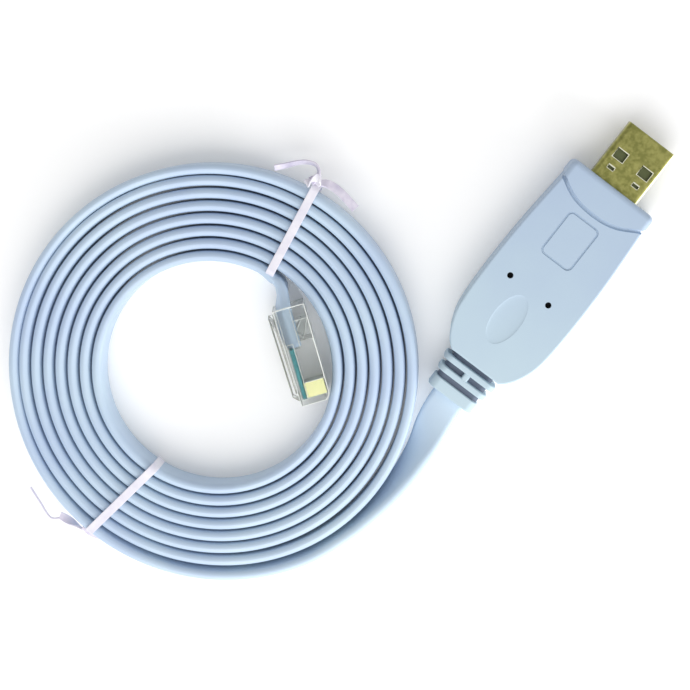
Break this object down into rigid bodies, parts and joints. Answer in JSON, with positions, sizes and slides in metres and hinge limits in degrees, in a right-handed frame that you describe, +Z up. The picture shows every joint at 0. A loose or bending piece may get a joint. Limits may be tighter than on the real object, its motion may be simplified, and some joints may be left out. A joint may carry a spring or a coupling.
{
  "type": "rj45 console cable",
  "caption": "USB-A console cable: a moulded housing with a gold-plated plug, a flat coiled lead held by twist ties, and a clear RJ45 plug.",
  "frame": {"origin": "on the surface that the part lies on, under the middle of the housing and its USB plug", "axes": "+Y along the housing towards the USB plug's mouth, +Z up, +X to the housing's right as seen from above"},
  "size_m": [0.1022, 0.1488, 0.0124],
  "materials": {
    "shell_gold": "gold-plated sheet steel, satin, slightly olive",
    "insulator": "dark moulded insulator",
    "contact_gold": "gold-plated contact",
    "housing_blue": "soft blue-grey moulding, satin",
    "jacket_blue": "flat blue-grey cable jacket, satin",
    "tie_white": "white coated twist tie",
    "clear_plastic": "clear polycarbonate",
    "core_teal": "insulated core"
  },
  "bodies": {
    "root": {"usb_shell": "shell_gold", "usb_tongue": "insulator", "usb_contact_1": "contact_gold", "usb_contact_2": "contact_gold", "usb_contact_3": "contact_gold", "usb_contact_4": "contact_gold", "housing": "housing_blue", "cable_lead": "jacket_blue", "cable_coil": "jacket_blue", "cable_tail": "jacket_blue", "twist_tie_upper": "tie_white", "twist_tie_lower": "tie_white", "rj45_body": "clear_plastic", "conductor_1": "core_teal", "conductor_2": "core_teal", "conductor_3": "core_teal", "conductor_4": "core_teal", "conductor_5": "core_teal", "conductor_6": "core_teal", "conductor_7": "core_teal", "conductor_8": "core_teal", "rj45_contact_1": "contact_gold", "rj45_contact_2": "contact_gold", "rj45_contact_3": "contact_gold", "rj45_contact_4": "contact_gold", "rj45_contact_5": "contact_gold", "rj45_contact_6": "contact_gold", "rj45_contact_7": "contact_gold", "rj45_contact_8": "contact_gold"}
  },
  "joints": []
}
